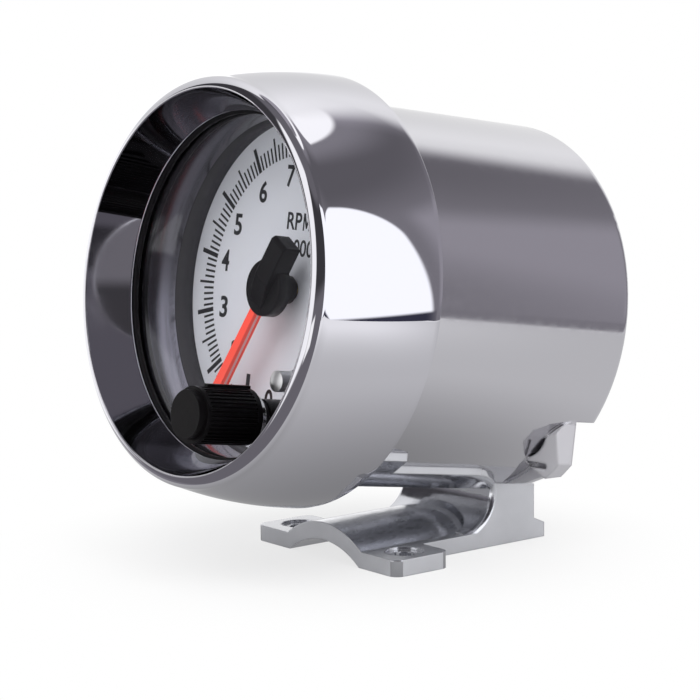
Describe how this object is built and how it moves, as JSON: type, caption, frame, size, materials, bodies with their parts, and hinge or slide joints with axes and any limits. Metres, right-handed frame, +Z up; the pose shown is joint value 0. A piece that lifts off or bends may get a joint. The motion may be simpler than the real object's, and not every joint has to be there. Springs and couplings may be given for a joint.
{
  "type": "tachometer",
  "caption": "Round pedestal tachometer: chrome bell-shaped visor round a white dial, ribbed control knob and push button on the glass, satin can, and a cast bracket for a steering column or shelf.",
  "frame": {"origin": "middle of the two foot holes of the bracket, on the plane that the feet rest on", "axes": "+Z up out of the feet, -Y the side that the dial faces, +X to the right of someone who reads the dial"},
  "size_m": [0.095, 0.1044, 0.1087],
  "materials": {
    "mirror_chrome": "mirror-bright chrome plate",
    "satin_chrome": "softly brushed chrome plate",
    "cast_alloy": "die-cast, lightly blasted, bright in the slot",
    "black_rubber": "smooth matt",
    "clear_glass": "clear, polished",
    "dark_chrome": "smoked bright plate",
    "dial_white": "white film, black print",
    "white_moulding": "moulded",
    "needle_red": "fluorescent coral red",
    "black_moulding": "moulded, fine-grained",
    "blue_moulding": "moulded",
    "steel": "bright steel",
    "magnet": "sintered, coated",
    "brass": "turned",
    "bright_nut": "turned bright",
    "copper_wire": "enamelled copper winding",
    "board_green": "solder mask",
    "lamp_clear": "clear epoxy lens"
  },
  "bodies": {
    "housing": {"visor": "mirror_chrome", "can": "satin_chrome", "lens_gasket": "black_rubber", "lens": "clear_glass", "spacer_ring": "dark_chrome", "dial": "dial_white", "light_box": "white_moulding", "front_bearing": "brass", "rear_bearing": "brass", "bobbin_front": "black_moulding", "bobbin_rear": "black_moulding", "inner_coil": "copper_wire", "outer_coil": "copper_wire", "movement_cup": "steel", "control_nut": "bright_nut", "control_bushing": "black_moulding", "potentiometer": "blue_moulding", "button_guide": "black_moulding", "button_spring": "steel", "button_switch": "black_moulding", "circuit_board": "board_green", "board_parts": "black_moulding", "wire_socket": "white_moulding", "board_pillars": "white_moulding", "board_screws": "steel", "lamps": "lamp_clear", "case_sleeves": "steel", "case_screws": "steel", "cable_grommet": "black_rubber", "bracket": "cast_alloy", "bracket_screws": "steel"},
    "needle_body": {"needle": "needle_red", "needle_hub": "black_moulding", "needle_spindle": "steel", "rotor_magnet": "magnet"},
    "knob_body": {"knob": "black_moulding", "knob_shaft": "steel"},
    "button_body": {"button": "mirror_chrome"}
  },
  "joints": [
    {"name": "needle_sweep", "type": "hinge", "parent": "housing", "child": "needle_body", "pos_m": [0, -0.0153, 0.06101], "axis": [0, 0.989, -0.1478], "range_deg": [-25.4, 235]},
    {"name": "knob_turn", "type": "hinge", "parent": "housing", "child": "knob_body", "pos_m": [0.01094, -0.02622, 0.03527], "axis": [0, 0.989, -0.1478], "range_deg": [-150, 150]},
    {"name": "button_press", "type": "slide", "parent": "housing", "child": "button_body", "axis": [0, 0.989, -0.1478], "range_m": [0, 0.0012], "stiffness_N_per_m": 900, "deforming": ["button_spring"]}
  ]
}
